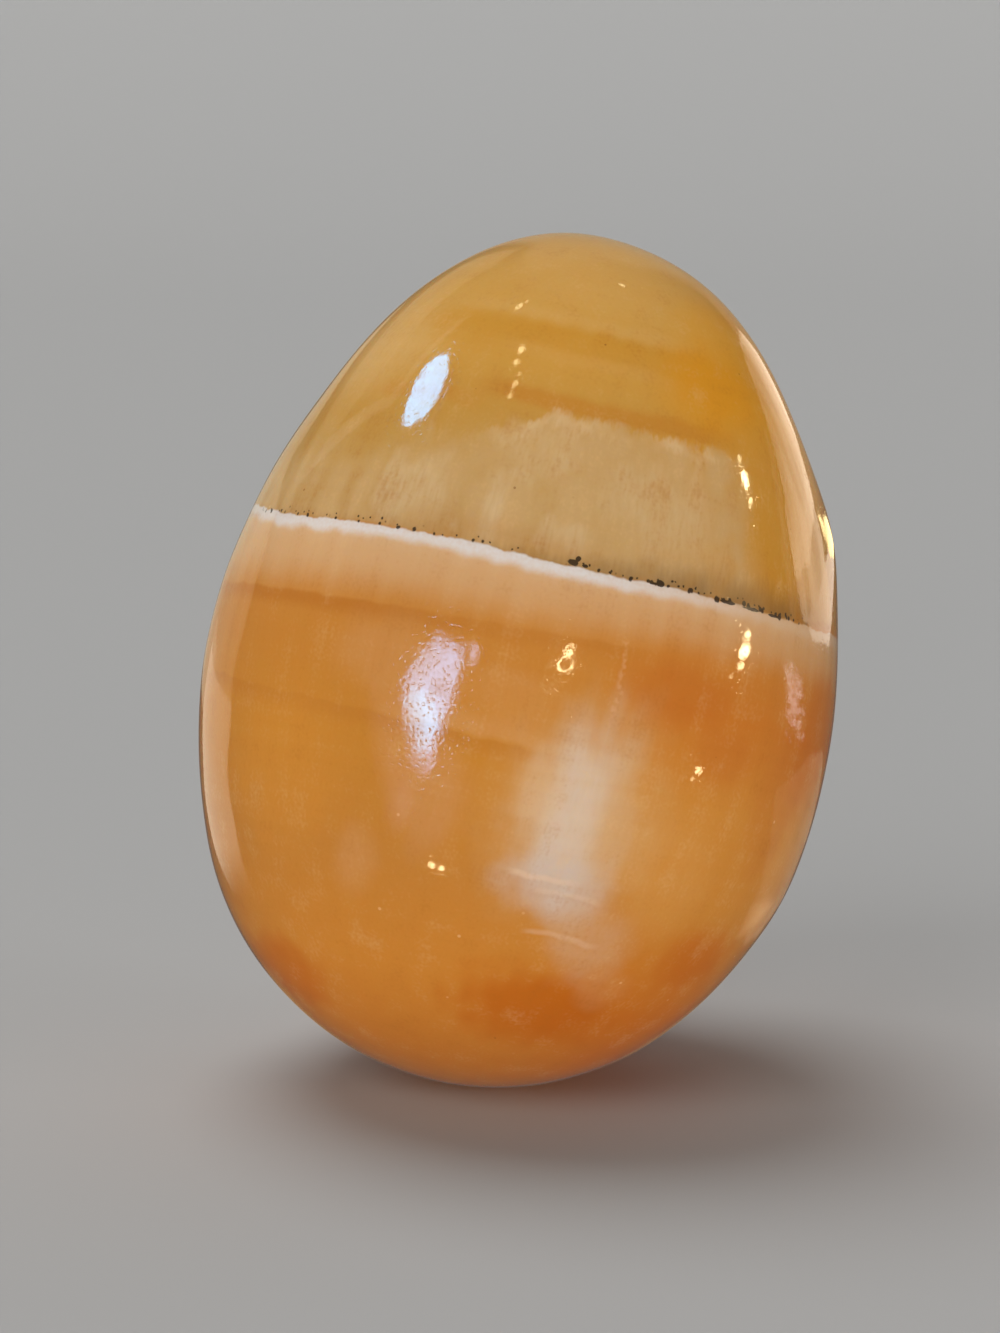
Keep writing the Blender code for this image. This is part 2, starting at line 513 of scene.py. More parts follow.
def ground_colour(g, at):
    """Honey above the vein and orange below it, in soft bands, deeper toward the right with painted shade
    there.
    """
    loose = g.plus(at.height, g.times(at.drift, 1.6))
    loose = g.plus(loose, g.times(at.streak, 0.5))
    honey = g.bands(loose, BANDS)
    # Deeper bands for the right side, partly painted shade
    deep = g.bands(loose, DEEP_AND_SHADED_BANDS)
    toward_right = g.fade(g.plus(at.u, g.times(at.drift, 8.0)), 2.0, 18.0)
    return g.mix(toward_right, honey, deep)


def line(g, height, middle, half_width, soft):
    """A thin sheet in the layers, seen on edge: 1 on it and 0 away from it."""
    away = g.math("ABSOLUTE", g.math("SUBTRACT", height, middle))
    return g.fade(away, half_width + soft, half_width)


def between(g, value, start, rise, fall, end):
    """1 from rise to fall, fading to 0 at start and at end."""
    return g.times(g.fade(value, start, rise), g.fade(value, end, fall))


def reach_of(g, at, centre, size):
    """Distance from a centre in the layers, 1 at the size in mm."""
    factor = tuple(1.0 / half for half in size)
    offset = tuple(-middle / half for middle, half in zip(centre, size))
    return g.vector("LENGTH", g.vector("MULTIPLY_ADD", at.place, factor, offset))


def blob(g, at, centre, size, amount=1.0, ragged=0.35):
    """A cloudy patch in the stone: the amount in its middle and 0 beyond its size in mm."""
    reach = reach_of(g, at, centre, size)
    return g.fade(g.math("MULTIPLY_ADD", at.ragged, ragged, reach), 1.0, 0.3, 0.0, amount)


def add_upper_lines(g, at, colour):
    """Deeper and paler sheets in the honey part."""
    height = g.plus(at.height, g.times(at.streak, 0.7))
    for middle, half_width, soft, stretch, amount, tone in UPPER_LINES:
        shade = g.times(line(g, height, middle, half_width, soft), between(g, at.u, *stretch))
        colour = g.mix(g.times(shade, amount), colour, tone)
    return colour


def add_frost(g, at, colour):
    """The cloudy fibrous zone above the vein, with a ragged top and a slanting right edge."""
    left_top, middle_top = 7.0, 12.6
    top = g.fade(at.u, -15.0, 0.0, left_top, middle_top)
    below_top = g.math("SUBTRACT", top, g.plus(at.height, g.times(at.fibre, 1.6)))
    below_top = g.plus(below_top, g.times(at.streak, 1.6))
    crisp = g.fade(at.u, -12.0, -2.0)
    edge = g.mix_value(crisp, g.fade(below_top, -2.5, 4.0), g.fade(below_top, -0.35, 0.85))
    slant = g.plus(at.u, g.times(at.w, 0.4))
    right = g.fade(g.plus(slant, g.times(at.streak, 2.0)), 19.6, 16.4)
    over_vein = g.fade(at.height, 0.0, 0.6)
    patches = g.plus(g.times(at.mottle, 1.4), g.times(at.streak, 1.0))
    patches = g.fade(patches, -0.5, 0.35, 0.50, 1.0)
    frost = g.times(g.times(g.times(edge, right), over_vein), patches)
    colour = g.mix(g.times(frost, 0.80), colour, srgb(194, 158, 108))
    crest = g.times(g.fade(below_top, -0.3, 0.4), g.fade(below_top, 1.9, 0.5))
    crest = g.times(crest, g.times(right, crisp))
    crest = g.times(crest, g.fade(at.mottle, -0.12, 0.16, 0.0, 1.0))
    colour = g.mix(g.times(crest, 0.42), colour, srgb(222, 190, 148))
    for centre, size, amount in FROST_PATCHES:
        fibrous = g.fade(at.fibre, -0.30, 0.20, 0.55, 1.0)
        patch = g.times(blob(g, at, centre, size, amount, 1.6), fibrous)
        colour = g.mix(patch, colour, srgb(214, 188, 150))
    return colour


def add_haze(g, at, colour):
    """Smoky fibres that stand on the vein, thicker toward the right."""
    left_height, right_height = 1.3, 3.6
    tall = g.fade(at.u, -4.0, 15.0, left_height, right_height)
    uneven = g.plus(g.times(at.fibre, 0.9), g.times(at.streak, 1.2))
    reach = g.math("DIVIDE", g.plus(at.height, uneven), tall)
    haze = g.times(g.fade(reach, 1.0, 0.10), g.fade(at.height, 0.0, 0.4))
    amount = g.times(g.fade(at.u, -16.0, 12.0, 0.24, 0.66), g.fade(at.streak, -0.4, 0.3, 0.55, 1.1))
    end = g.fade(at.u, 25.0, 21.0)
    colour = g.mix(g.times(g.times(haze, amount), end), colour, srgb(122, 90, 52))
    low = g.times(between(g, at.height, 0.2, 0.8, 1.6, 3.4), between(g, at.u, -14.0, -8.0, 0.0, 5.0))
    return g.mix(g.times(low, 0.22), colour, srgb(170, 112, 44))


def add_peach(g, at, colour):
    """The pale glow that hangs below the vein, down to the first dark sheet at the left."""
    left_depth, right_depth = 6.4, 5.0
    depth = g.fade(at.u, -24.0, 18.0, left_depth, right_depth)
    uneven = g.plus(g.times(at.fibre, 0.3), g.times(at.streak, 1.1))
    down = g.math("DIVIDE", g.plus(at.height, uneven), depth)
    under = g.fade(at.height, 0.2, -0.2)
    amount = g.fade(at.u, -20.0, 20.0, 0.90, 0.62)
    peach = g.times(g.times(g.fade(down, -1.08, -0.34), under), amount)
    colour = g.mix(peach, colour, srgb(204, 162, 116))
    uneven = g.plus(g.times(at.fibre, 0.4), g.times(at.streak, 0.8))
    near = g.times(g.fade(g.plus(at.height, uneven), -2.2, -0.2), under)
    return g.mix(g.times(near, 0.34), colour, srgb(212, 182, 148))


def dark_sheet(g, at, tilt, height, sway, top, bottom):
    """The height over a dark sheet's crisp top, in mm, and the sheet's shade there."""
    over = g.math("SUBTRACT", at.w, g.math("MULTIPLY_ADD", at.u, tilt, height))
    over = g.plus(over, g.times(at.streak, sway))
    return over, g.times(g.fade(over, *top), g.fade(over, *bottom))


def add_lower_lines(g, at, colour):
    """Two dark sheets in the orange part, and a paler one on the second."""
    over, shade = dark_sheet(g, at, 0.055, -5.58, 0.5, (0.35, -0.05), (-1.7, -0.35))
    along = g.times(between(g, at.u, -40.0, -30.0, 6.0, 12.0), g.fade(at.u, -16.0, -4.0, 0.66, 0.34))
    colour = g.mix(g.times(shade, along), colour, srgb(178, 108, 36))
    over, shade = dark_sheet(g, at, -0.01, -15.1, 0.8, (0.3, 0.0), (-1.7, -0.2))
    along = between(g, at.u, -40.0, -30.0, 2.0, 7.0)
    colour = g.mix(g.times(g.times(shade, along), 0.38), colour, srgb(180, 112, 40))
    above = g.times(between(g, over, 0.0, 0.7, 1.2, 3.0), between(g, at.u, -14.0, -6.0, 0.0, 6.0))
    return g.mix(g.times(above, 0.35), colour, srgb(206, 152, 98))


def add_clouds(g, at, colour):
    """White mist that hangs in the orange part, in streaks across the layers."""
    texture = g.fade(g.plus(g.times(at.fibre, 0.7), g.times(at.sheet, 0.9)), -0.5, 0.4, 0.74, 1.0)
    for centre, size, amount, tone in CLOUDS:
        colour = g.mix(g.times(blob(g, at, centre, size, amount), texture), colour, tone)
    return colour


def add_deep_patches_and_painted_shade(g, at, colour):
    """Deeper orange and red-brown places: the stone's own, and painted shade round the foot and along the
    right edge.
    """
    for centre, size, amount, tone in DEEP_PATCHES_AND_PAINTED_SHADE:
        colour = g.mix(blob(g, at, centre, size, amount, 0.3), colour, tone)
    return colour


def add_cracks(g, at, colour):
    """Healed cracks: thin pale lines in the orange part."""
    upright = line(g, g.plus(at.u, g.times(at.mottle, 1.4)), 7.2, 0.05, 0.30)
    upright = g.times(upright, between(g, at.w, -12.0, -10.0, -5.0, -3.5))
    upright = g.times(upright, g.fade(at.rough, -0.1, 0.15))
    colour = g.mix(g.times(upright, 0.22), colour, srgb(226, 182, 140))
    for height, start, end, amount in CRACKS:
        level = line(g, g.plus(at.w, g.times(at.mottle, 0.9)), height, 0.05, 0.32)
        level = g.times(level, between(g, at.u, start, start + 1.5, end - 2.0, end))
        colour = g.mix(g.times(level, amount), colour, srgb(224, 190, 160))
    return colour


def add_fibres(g, at, colour):
    """Light and dark fibres, thin sheets, mottling and fine grain through the whole stone."""
    above = between(g, at.height, 0.0, 1.0, 8.0, 15.0)
    fibrous = g.times(at.fibre, g.mix_value(above, 0.22, 0.42))
    mottled = g.times(at.mottle, g.mix_value(above, 0.12, 0.34))
    light = g.plus(fibrous, g.plus(g.times(at.sheet, 0.34), mottled))
    light = g.plus(light, g.plus(g.times(at.streak, 0.44), g.times(at.grain, 0.30)))
    colour = g.mix(g.fade(light, 0.0, 0.50, 0.0, 0.34), colour, srgb(222, 180, 126))
    return g.mix(g.fade(light, 0.0, -0.50, 0.0, 0.42), colour, srgb(164, 96, 26))


def wavy(g, at, height):
    """A height that follows the waves of the vein's edge."""
    return g.plus(height, g.plus(g.times(at.rough, 0.24), g.times(at.wave, 0.40)))


def add_vein(g, at, colour):
    """The white vein: crisp and wavy on top, soft below, thinner at the right."""
    left_half, right_half = 0.29, 0.19
    curl = g.fade(at.u, -22.0, -26.0, 0.0, 0.7)
    height = g.math("SUBTRACT", wavy(g, at, at.height), curl)
    half = g.fade(at.u, 2.0, 22.0, left_half, right_half)
    top = g.fade(g.math("SUBTRACT", height, half), 0.14, -0.10)
    soft = g.plus(g.plus(height, half), g.times(at.streak, 0.5))
    bottom = g.fade(soft, -0.80, 0.14)
    vein = g.times(top, bottom)
    white = g.mix(g.fade(at.u, 2.0, 22.0), srgb(212, 203, 198), srgb(206, 168, 130))
    return g.mix(g.times(vein, g.fade(at.grain, -0.4, 0.3, 0.80, 0.97)), colour, white), vein


def add_dots(g, at, colour):
    """Black mineral dots along the vein's upper edge, crowding toward the right."""
    crowd = g.fade(at.u, 4.0, 16.0)
    over = wavy(g, at, g.math("SUBTRACT", at.height, g.fade(at.u, 2.0, 22.0, 0.34, 0.22)))
    edge = g.times(at.grain, 0.10)
    dots = []
    for density, radius, lift in DOT_ROWS:
        near, size, place = g.scattered(at.round, density, on_line=True)
        aside = g.times(near, 1.0 / density)
        above = g.math("SUBTRACT", over, g.math("MULTIPLY_ADD", place, lift, 0.04))
        away = g.vector("LENGTH", g.xyz(aside, above, 0.0))
        shown = g.fade(g.math("MULTIPLY_ADD", crowd, 0.40, size), 0.56, 0.62)
        largest = g.mix_value(crowd, radius * 0.80, radius * 1.30)
        reach = g.times(g.fade(size, 0.1, 1.0, 0.45, 1.0), largest)
        dots.append(g.times(g.fade(g.math("SUBTRACT", g.plus(away, edge), reach), 0.06, -0.05), shown))
    for centre, size in DOT_CLUSTERS:
        reach = g.math("MULTIPLY_ADD", at.rough, 1.2, reach_of(g, at, centre, size))
        dots.append(g.fade(reach, 1.0, 0.75))
    black = dots[0]
    for dot in dots[1:]:
        black = g.math("MAXIMUM", black, dot)
    front = between(g, at.u, -25.0, -24.0, 21.0, 23.0)
    behind = g.fade(at.v, 18.0, 21.0)
    black = g.times(black, g.math("MAXIMUM", front, behind))
    return g.mix(g.times(black, 0.90), colour, srgb(34, 24, 18)), black


def add_specks(g, at, colour):
    """Sparse pale and dark specks."""
    near, kind, _ = g.scattered(at.place, 0.42)
    pale = g.times(g.fade(near, 0.085, 0.03), g.fade(kind, 0.76, 0.78))
    colour = g.mix(g.times(pale, 0.45), colour, srgb(232, 186, 130))
    dark = g.times(g.fade(near, 0.06, 0.03), g.fade(kind, 0.14, 0.12))
    return g.mix(g.times(dark, 0.6), colour, srgb(120, 66, 22))


def add_relief(g, at, dots):
    """Polish with a faint orange peel and fine pits, rougher in a worn place and on the dots."""
    below = g.fade(at.w, 0.6, -0.6)
    worn = g.times(below, blob(g, at, (-7.0, -5.1, -13.0), (5.0, 6.0, 9.5), 1.0, 0.0))
    peel = g.noise(at.from_vein, 0.8, 0.0)
    grain = g.noise(at.from_vein, 3.2, 0.0)
    pit = g.fade(grain, 0.36, 0.26)
    relief = g.math("MULTIPLY_ADD", grain, GRAIN_HEIGHT, g.times(peel, PEEL_HEIGHT))
    relief = g.math("MULTIPLY_ADD", pit, PIT_HEIGHT, relief)
    bump = g.nodes.new("ShaderNodeBump")
    g.put(bump.inputs["Strength"], g.mix_value(worn, 0.28, 1.0))
    bump.inputs["Distance"].default_value = 0.001
    g.put(bump.inputs["Height"], relief)
    g.put(g.shader.inputs["Normal"], bump.outputs["Normal"])
    gloss = g.plus(g.mix_value(worn, POLISH_ROUGHNESS, WORN_ROUGHNESS), g.times(at.mottle, 0.02))
    g.put(g.shader.inputs["Roughness"], g.plus(gloss, g.times(dots, 0.2)))


def stone_material():
    """Banded onyx marble, solid through the egg, so its marks wrap round from any side."""
    g = Graph("onyx_marble_polished")
    at = Layers(g)
    colour = ground_colour(g, at)
    for add in (
        add_upper_lines,
        add_frost,
        add_peach,
        add_lower_lines,
        add_deep_patches_and_painted_shade,
        add_clouds,
        add_cracks,
        add_fibres,
        add_haze,
        add_specks,
    ):
        colour = add(g, at, colour)
    colour, vein = add_vein(g, at, colour)
    colour, dots = add_dots(g, at, colour)
    g.put(g.shader.inputs["Base Color"], colour)
    add_relief(g, at, dots)
    g.shader.inputs["IOR"].default_value = STONE_IOR
    scatter = g.fade(g.plus(vein, dots), 0.0, 1.0, SCATTER_SHARE, VEIN_SCATTER_SHARE)
    g.put(g.shader.inputs["Subsurface Weight"], scatter)
    g.shader.inputs["Subsurface Radius"].default_value = SCATTER_DEPTH
    g.shader.inputs["Subsurface Scale"].default_value = 1.0
    return g.material


def dress_egg():
    egg = make_egg()
    egg.data.materials.append(stone_material())
    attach(egg, "root")
    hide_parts("onyx_egg")


def stage_mesh(name, points, faces):
    """A mesh that belongs to the stage round the egg."""
    mesh = bpy.data.meshes.new(name)
    mesh.from_pydata(points, [], faces)
    thing = add_object(name, mesh)
    return thing


def hide_from(thing, *rays):
    """Let these kinds of ray pass through as if the thing weren't there."""
    for ray in rays:
        setattr(thing, "visible_" + ray, False)


def make_floor():
    """A seamless sheet: level under the egg, curving up far behind it."""
    half_width, front, level, curve, steps = 4.0, -3.0, 1.2, 2.4, 24
    outline = [(front, 0.0), (level, 0.0)]
    for step in range(1, steps + 1):
        turn = math.pi / 2.0 * step / steps
        outline.append((level + curve * math.sin(turn), curve - curve * math.cos(turn)))
    points = [(side, y, z) for y, z in outline for side in (-half_width, half_width)]
    faces = [(2 * i, 2 * i + 1, 2 * i + 3, 2 * i + 2) for i in range(len(outline) - 1)]
    floor = stage_mesh("floor", points, faces)
    floor.data.shade_smooth()
    g = Graph("floor_paint")
    paint = g.nodes.new("ShaderNodeBsdfDiffuse")
    paint.inputs["Color"].default_value = (FLOOR_GREY, FLOOR_GREY, FLOOR_GREY, 1.0)
    g.show_only(paint.outputs[0])
    floor.data.materials.append(g.material)
    # What the polish mirrors comes from the glow sheets and the dim room, and a lamp below the
    # floor stands for the light that a real one throws up on the egg
    hide_from(floor, "shadow", "glossy")


def make_backdrop():
    """A pale wall all round, beyond the floor, that only the camera sees."""
    radius, low, high, steps = 2.9, -0.1, 3.0, 96
    points = []
    for step in range(steps):
        turn = math.tau * step / steps
        points += [(radius * math.sin(turn), -radius * math.cos(turn), height) for height in (low, high)]
    count = len(points)
    faces = [(i, (i + 2) % count, (i + 3) % count, i + 1) for i in range(0, count, 2)]
    backdrop = stage_mesh("backdrop", points, faces)
    g = Graph("backdrop_paint")
    g.show_only(g.emission(BACKDROP_STRENGTH, DAYLIGHT))
    backdrop.data.materials.append(g.material)
    hide_from(backdrop, "diffuse", "glossy", "shadow", "transmission")


def direction(azimuth, elevation):
    """A direction from the egg. Azimuth 0 is toward the camera's side and 90 is to the right."""
    azimuth, elevation = math.radians(azimuth), math.radians(elevation)
    level = math.cos(elevation)
    return Vector((level * math.sin(azimuth), -level * math.cos(azimuth), math.sin(elevation)))


def soft_light(name, azimuth, elevation, spread, strength, colour):
    """A broad even light from one side. Spread is the angle that it fills, in degrees."""
    light = bpy.data.lights.new(name, "SUN")
    light.energy = strength
    light.angle = math.radians(spread)
    light.color = colour
    lamp = add_object(name, light)
    lamp.location = AIM + direction(azimuth, elevation)
    lamp.rotation_euler = direction(azimuth, elevation).to_track_quat("Z", "Y").to_euler()
    hide_from(lamp, "camera", "glossy")


def glow(name, outline, strength, colour, soft=0.0, patches=None, near=None, high=None):
    """A bright sheet that shows only as its reflection in the polish.

    Soft is the part of the way to its middle over which it fades in. Patches are the scale of its uneven
    brightness along x, y and z, and the share that stays in its darkest places. Near is where it starts
    and ends to fade out toward the egg's foot, and high is the same with height.
    """
    outer = [Vector(point) for point in outline]
    count = len(outer)
    middle = sum(outer, Vector()) / count
    inner = [middle + (point - middle) * (1.0 - soft) for point in outer]
    faces = [tuple(range(count, 2 * count))]
    if soft:
        faces += [(i, (i + 1) % count, count + (i + 1) % count, count + i) for i in range(count)]
    inside = [0.0] * count + [1.0] * count
    glow_mesh(name, outer + inner, faces, inside, strength, colour, patches, near, high)


def glow_mesh(name, points, faces, inside, strength, colour, patches=None, near=None, high=None):
    """The mesh and the material of a bright sheet. Inside is 0 at a point on its soft edge and 1 within."""
    sheet = stage_mesh(name, [tuple(point) for point in points], faces)
    sheet.data.attributes.new("inside", "FLOAT", "POINT").data.foreach_set("value", inside)
    g = Graph(name + "_glow")
    edge = g.nodes.new("ShaderNodeAttribute")
    edge.attribute_name = "inside"
    shown = edge.outputs["Fac"]
    place = g.nodes.new("ShaderNodeTexCoord").outputs["Object"]
    if patches:
        scale, darkest = patches
        texture = g.noise(g.vector("MULTIPLY", place, scale), 1.0, 2.0, 0.6)
        shown = g.fade(g.plus(shown, g.times(g.centred(texture), 1.6)), 0.15, 0.65)
        shown = g.times(shown, g.fade(texture, 0.34, 0.60, darkest, 1.0))
    if near:
        shown = g.times(shown, g.fade(g.vector("LENGTH", place), *near))
    if high:
        height = g.vector("DOT_PRODUCT", place, (0.0, 0.0, 1.0))
        shown = g.times(shown, g.fade(height, *high, 0.35, 1.0))
    blend = g.nodes.new("ShaderNodeMixShader")
    g.put(blend.inputs[0], shown)
    g.put(blend.inputs[1], g.nodes.new("ShaderNodeBsdfTransparent").outputs[0])
    g.put(blend.inputs[2], g.emission(strength, colour))
    g.show_only(blend.outputs[0])
    sheet.data.materials.append(g.material)
    hide_from(sheet, "camera", "diffuse", "shadow", "transmission")


def seen_from(spot, outline, distance):
    """Points at a distance from a spot on the egg, each in its direction (azimuth, elevation)."""
    return [Vector(spot) + direction(azimuth, elevation) * distance for azimuth, elevation in outline]


def oval(azimuth, elevation, half_width, half_height, corners=12):
    """Directions round a small lamp."""
    turns = [math.tau * corner / corners for corner in range(corners)]
    return [(azimuth + half_width * math.cos(t), elevation + half_height * math.sin(t)) for t in turns]


def tube(name, spot, middle, half_size, turns, strength):
    """A curved tube lamp a metre away, from one angle to another about its middle."""
    steps, distance, thickness = 20, 1.0, 0.22
    start, end = turns
    outline = []
    for step in range(steps + 1):
        turn = math.radians(start + (end - start) * step / steps)
        for scale in (1.0, 1.0 - thickness):
            outline.append((
                middle[0] + half_size[0] * scale * math.cos(turn),
                middle[1] + half_size[1] * scale * math.sin(turn),
            ))
    faces = [(2 * i, 2 * i + 1, 2 * i + 3, 2 * i + 2) for i in range(steps)]
    inside = [1.0] * len(outline)
    glow_mesh(name, seen_from(spot, outline, distance), faces, inside, strength, LAMPLIGHT)


def make_windows():
    """Two panes of daylight at the left, with a paler haze round the lower one and a veil below it."""
    spot = (-0.0045, -0.0145, 0.0650)
    pane = ((-109.2, 51.7), (-104.6, 55.0), (-91.5, 55.4), (-80.8, 51.6), (-78.2, 47.2), (-83.6, 43.0),
            (-90.0, 42.0), (-97.8, 43.6), (-105.2, 46.0), (-109.6, 48.8))
    glow("upper_window", seen_from(spot, pane, 0.8), 21.0, (0.18, 0.58, 1.0), 0.30,
         ((110.0, 110.0, 60.0), 0.60))
    spot = (-0.0069, -0.0259, 0.0385)
    core = ((-38.0, 8.2), (-34.5, 7.2), (-32.6, 5.0), (-28.7, 3.0), (-27.2, 0.0), (-27.8, -3.2),
            (-31.8, -7.6), (-34.4, -5.2), (-37.6, -2.0), (-40.0, 1.4), (-41.6, 4.3), (-40.4, 6.9))
    glow("lower_window", seen_from(spot, core, 0.79), 26.0, (0.24, 0.64, 1.0), 0.3,
         ((40.0, 40.0, 24.0), 0.9))
    haze = ((-33.0, 18.2), (-27.0, 17.6), (-23.0, 14.8), (-21.2, 11.0), (-21.6, 6.9), (-23.6, 2.0),
            (-25.0, -3.0), (-28.0, -8.0), (-34.0, -9.0), (-40.0, -2.0), (-43.6, 4.0), (-43.4, 8.4),
            (-42.4, 12.0), (-38.4, 16.2))
    glow("window_haze", seen_from(spot, haze, 0.81), 19.0, (0.28, 0.58, 1.0), 0.40,
         ((44.0, 44.0, 36.0), 0.20))
    spark = ((-21.6, 15.4), (-17.6, 15.0), (-16.0, 12.4), (-17.4, 10.2), (-20.6, 12.0))
    glow("window_spark", seen_from(spot, spark, 0.80), 16.0, (0.40, 0.60, 1.0), 0.5,
         ((60.0, 60.0, 60.0), 0.0))
    tail = ((-38.0, -2.4), (-30.0, -2.6), (-26.8, -6.4), (-27.6, -11.0), (-36.0, -10.4), (-39.6, -6.0))
    glow("window_tail", seen_from(spot, tail, 0.82), 10.0, (0.42, 0.60, 1.0), 0.5,
         ((9.0, 9.0, 75.0), 0.1))
    spot = (-0.0095, -0.0254, 0.0330)
    veil = ((-60.0, 17.0), (-48.0, 21.0), (-34.0, 19.0), (-25.0, 4.0), (-25.0, -9.0), (-30.0, -21.0),
            (-35.0, -28.0), (-42.0, -32.0), (-48.0, -27.0), (-51.0, -15.0), (-55.0, -3.0))
    glow("window_veil", seen_from(spot, veil, 0.05), 0.9, VEIL_LIGHT, 0.9)
    veil = ((-44.0, -5.0), (-33.0, -7.0), (-29.0, -14.0), (-30.6, -23.0), (-37.0, -31.0), (-44.0, -32.0),
            (-48.0, -25.0))
    glow("window_low_veil", seen_from(spot, veil, 0.048), 1.1, VEIL_LIGHT, 0.8)


def make_lamps():
    """Small warm lamps round the room, each laid out from the spot on the egg that mirrors it."""
    right = (0.021, -0.017, 0.0545)
    low_right = (0.020, -0.020, 0.041)
    top = (0.002, -0.015, 0.066)
    front = (0.006, -0.0275, 0.0415)
    foot_right = (0.017, -0.024, 0.031)
    foot_front = (-0.005, -0.026, 0.0245)
    for name, spot, distance, outline, strength in (
        ("tall_lamp", right, 1.0, oval(97.7, 18.9, 1.8, 1.5), 40.0),
        ("tall_lamp_foot", right, 1.0, oval(97.4, 15.9, 1.2, 0.45), 24.0),
        ("tall_lamp_top", right, 1.0, oval(98.6, 22.1, 1.2, 0.5), 14.0),
        ("side_lamp", low_right, 0.5, oval(84.4, -0.6, 3.0, 1.15), 44.0),
        ("side_lamp_top", low_right, 0.5, oval(86.4, 1.5, 1.8, 0.55), 34.0),
        ("side_lamp_foot", low_right, 0.5, oval(82.6, -3.0, 1.9, 0.7), 24.0),
        ("side_lamp_spark", low_right, 0.5, oval(78.0, -4.2, 0.9, 0.4), 12.0),
        ("ceiling_lamp_left", top, 1.0, oval(-119.0, 73.0, 5.0, 1.2), 9.0),
        ("ceiling_lamp_left_foot", top, 1.0, oval(-128.0, 74.6, 3.4, 0.7), 6.0),
        ("ceiling_lamp_middle", top, 1.0, oval(-53.0, 73.0, 4.6, 1.0), 12.0),
        ("ceiling_lamp_middle_foot", top, 1.0, oval(-47.0, 69.6, 3.6, 0.9), 11.0),
        ("ceiling_lamp_front", top, 1.0, oval(-34.6, 64.0, 2.6, 1.0), 10.0),
        ("ceiling_lamp_front_foot", top, 1.0, oval(-33.4, 60.9, 2.2, 0.9), 9.0),
        ("ceiling_lamp_front_top", top, 1.0, oval(-36.6, 67.0, 2.0, 0.7), 6.0),
        ("ceiling_lamp_right", top, 1.0, oval(139.0, 61.0, 2.4, 0.8), 6.0),
        ("ring_lamp_bulb", front, 1.0, oval(14.9, 9.5, 1.2, 0.9), 34.0),
        ("table_lamp", foot_right, 0.1, oval(68.6, -15.4, 2.0, 0.9), 26.0),
        ("table_lamp_foot", foot_right, 0.1, oval(66.0, -17.4, 1.0, 0.6), 12.0),
        ("low_lamp", foot_front, 0.04, oval(-29.6, -31.6, 1.9, 0.9), 30.0),
        ("low_lamp_side", foot_front, 0.04, oval(-24.6, -33.2, 2.0, 0.8), 32.0),
    ):
        glow(name, seen_from(spot, outline, distance), strength, LAMPLIGHT)
    tube("ring_lamp", front, (13.5, 6.9), (3.3, 1.9), (80.0, 390.0), 36.0)
    tube("ring_lamp_neck", front, (15.0, 9.9), (2.4, 1.5), (20.0, 215.0), 30.0)


def upright_sheet(name, y, outline, *looks, **more):
    """A glow sheet that stands across the view. Its outline is given in x and z."""
    glow(name, [(x, y, z) for x, z in outline], *looks, **more)


def level_sheet(name, outline, *looks, lift=ABOVE_FLOOR, **more):
    """A glow sheet that lies just above the floor. Its outline is given in x and y."""
    glow(name, [(x, y, lift) for x, y in outline], *looks, **more)


def make_left_room():
    """The pale floor and wall at the left, which show as a band along the egg's left edge."""
    outline = ((-0.046, 0.004), (-0.590, 0.366), (-0.450, 0.900), (-0.075, 0.110), (-0.056, 0.060),
               (-0.048, 0.030))
    level_sheet("left_sheet", outline, 0.98, (1.0, 0.88, 0.70), near=(0.048, 0.085))
    wall = ((-123, -8), (-124, 4), (-127, 12), (-136, 14), (-172, 11), (-172, -8))
    glow("left_wall", seen_from((-0.022, -0.013, 0.037), wall, 0.60), 0.56, (1.0, 0.88, 0.66), 0.08,
         ((12.0, 12.0, 2.0), 0.7))
    spot = (-0.014, -0.012, 0.058)
    wall = ((-128, 16), (-127, 25), (-129, 30), (-134, 35), (-144, 38), (-160, 42), (-172, 34), (-170, 16))
    glow("left_upper_wall", seen_from(spot, wall, 1.2), 0.34, (1.0, 0.90, 0.68), 0.06)
    rail = ((-127, 20), (-106, 41), (-125, 57), (-127, 54), (-111, 41), (-130, 22))
    glow("picture_rail", seen_from(spot, rail, 1.1), 0.5, (1.0, 0.94, 0.86))
    wall = ((-152, 66), (176, 66), (150, 44), (154, 20), (160, 4), (170, -16), (-170, -16), (-173, 10),
            (-172, 34), (-158, 52))
    glow("far_wall", seen_from((0.006, -0.008, 0.071), wall, 1.3), 0.40, (1.0, 0.86, 0.66), 0.35)


